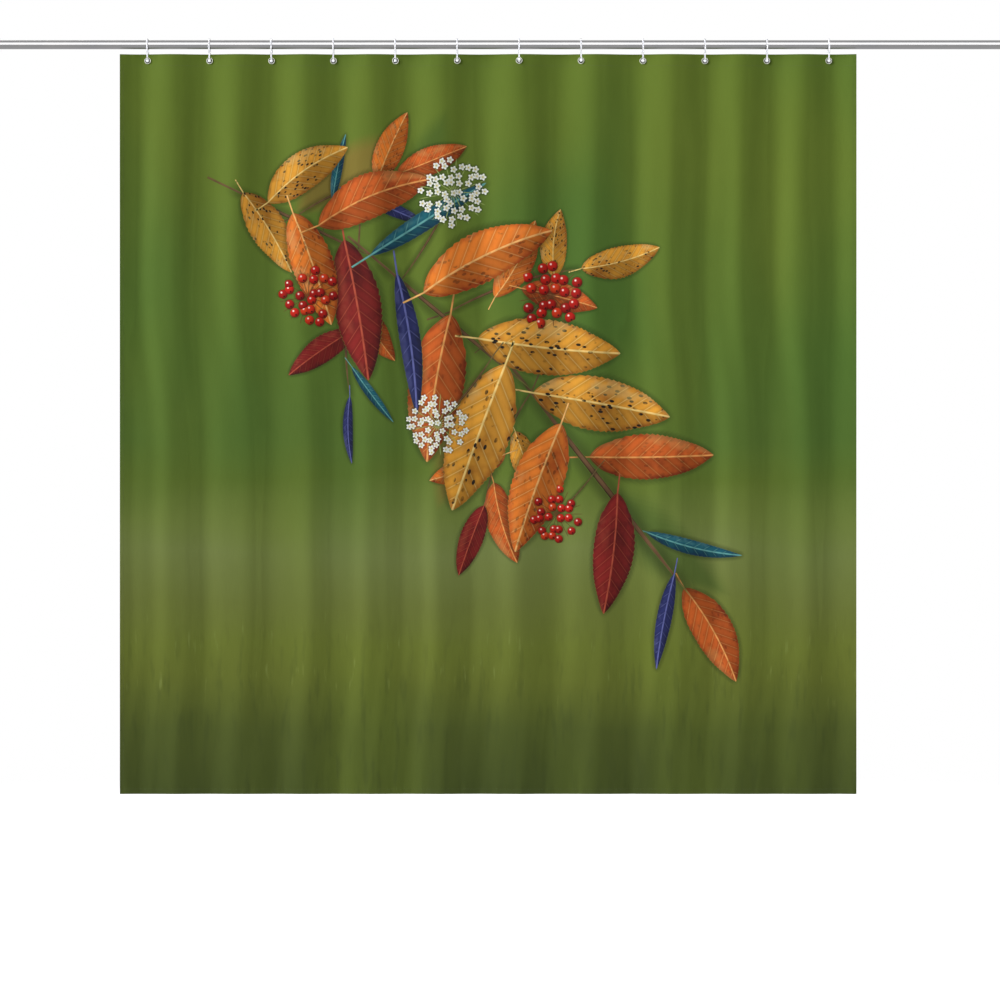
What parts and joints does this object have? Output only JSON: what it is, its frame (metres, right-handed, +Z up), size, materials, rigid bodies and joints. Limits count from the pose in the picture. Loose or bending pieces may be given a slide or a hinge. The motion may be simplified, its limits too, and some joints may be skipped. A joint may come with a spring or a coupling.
{
  "type": "shower curtain",
  "caption": "Square printed cloth shower curtain with shallow folds, hung by ring hooks through metal eyelets from a straight metal rod with a round flange at each wall.",
  "frame": {"origin": "middle of the left flange's wall face, on the rod's axis", "axes": "+X along the rod to the right wall, +Z up, the printed side of the curtain faces -Y"},
  "size_m": [2.5, 0.054, 1.8462],
  "materials": {
    "curtain_cloth": "matt woven polyester with a green print",
    "rod_metal": "polished grey metal tube",
    "screw_steel": "countersunk screw head",
    "eyelet_metal": "bright pressed metal",
    "hook_plastic": "white, smooth and glossy"
  },
  "bodies": {
    "rod_on_walls": {"rod": "rod_metal", "flange_left": "rod_metal", "flange_right": "rod_metal", "screw_left_upper": "screw_steel", "screw_left_lower": "screw_steel", "screw_right_upper": "screw_steel", "screw_right_lower": "screw_steel"},
    "first_hook": {"hook_01": "hook_plastic", "eyelet_01": "eyelet_metal", "curtain": "curtain_cloth"},
    "runner_02": {"hook_02": "hook_plastic", "eyelet_02": "eyelet_metal"},
    "runner_03": {"hook_03": "hook_plastic", "eyelet_03": "eyelet_metal"},
    "runner_04": {"hook_04": "hook_plastic", "eyelet_04": "eyelet_metal"},
    "runner_05": {"hook_05": "hook_plastic", "eyelet_05": "eyelet_metal"},
    "runner_06": {"hook_06": "hook_plastic", "eyelet_06": "eyelet_metal"},
    "runner_07": {"hook_07": "hook_plastic", "eyelet_07": "eyelet_metal"},
    "runner_08": {"hook_08": "hook_plastic", "eyelet_08": "eyelet_metal"},
    "runner_09": {"hook_09": "hook_plastic", "eyelet_09": "eyelet_metal"},
    "runner_10": {"hook_10": "hook_plastic", "eyelet_10": "eyelet_metal"},
    "runner_11": {"hook_11": "hook_plastic", "eyelet_11": "eyelet_metal"},
    "runner_12": {"hook_12": "hook_plastic", "eyelet_12": "eyelet_metal"}
  },
  "joints": [
    {"name": "shift", "type": "slide", "parent": "rod_on_walls", "child": "first_hook", "axis": [1, 0, 0], "range_m": [-0.29, 0.34]},
    {"name": "draw", "type": "slide", "parent": "first_hook", "child": "runner_12", "axis": [1, 0, 0], "range_m": [-0.9924, 0], "deforming": ["curtain"]},
    {"name": "gather_02", "type": "slide", "parent": "first_hook", "child": "runner_02", "axis": [1, 0, 0], "range_m": [-0.0903, 0]},
    {"name": "gather_03", "type": "slide", "parent": "first_hook", "child": "runner_03", "axis": [1, 0, 0], "range_m": [-0.1805, 0]},
    {"name": "gather_04", "type": "slide", "parent": "first_hook", "child": "runner_04", "axis": [1, 0, 0], "range_m": [-0.2708, 0]},
    {"name": "gather_05", "type": "slide", "parent": "first_hook", "child": "runner_05", "axis": [1, 0, 0], "range_m": [-0.361, 0]},
    {"name": "gather_06", "type": "slide", "parent": "first_hook", "child": "runner_06", "axis": [1, 0, 0], "range_m": [-0.4512, 0]},
    {"name": "gather_07", "type": "slide", "parent": "first_hook", "child": "runner_07", "axis": [1, 0, 0], "range_m": [-0.5414, 0]},
    {"name": "gather_08", "type": "slide", "parent": "first_hook", "child": "runner_08", "axis": [1, 0, 0], "range_m": [-0.6316, 0]},
    {"name": "gather_09", "type": "slide", "parent": "first_hook", "child": "runner_09", "axis": [1, 0, 0], "range_m": [-0.7218, 0]},
    {"name": "gather_10", "type": "slide", "parent": "first_hook", "child": "runner_10", "axis": [1, 0, 0], "range_m": [-0.8121, 0]},
    {"name": "gather_11", "type": "slide", "parent": "first_hook", "child": "runner_11", "axis": [1, 0, 0], "range_m": [-0.9023, 0]}
  ],
  "couplings": [
    {"joint": "gather_02", "follows": "draw", "ratio": 0.090909},
    {"joint": "gather_03", "follows": "draw", "ratio": 0.18182},
    {"joint": "gather_04", "follows": "draw", "ratio": 0.27273},
    {"joint": "gather_05", "follows": "draw", "ratio": 0.36364},
    {"joint": "gather_06", "follows": "draw", "ratio": 0.45454},
    {"joint": "gather_07", "follows": "draw", "ratio": 0.54546},
    {"joint": "gather_08", "follows": "draw", "ratio": 0.63636},
    {"joint": "gather_09", "follows": "draw", "ratio": 0.72727},
    {"joint": "gather_10", "follows": "draw", "ratio": 0.81818},
    {"joint": "gather_11", "follows": "draw", "ratio": 0.90909}
  ]
}
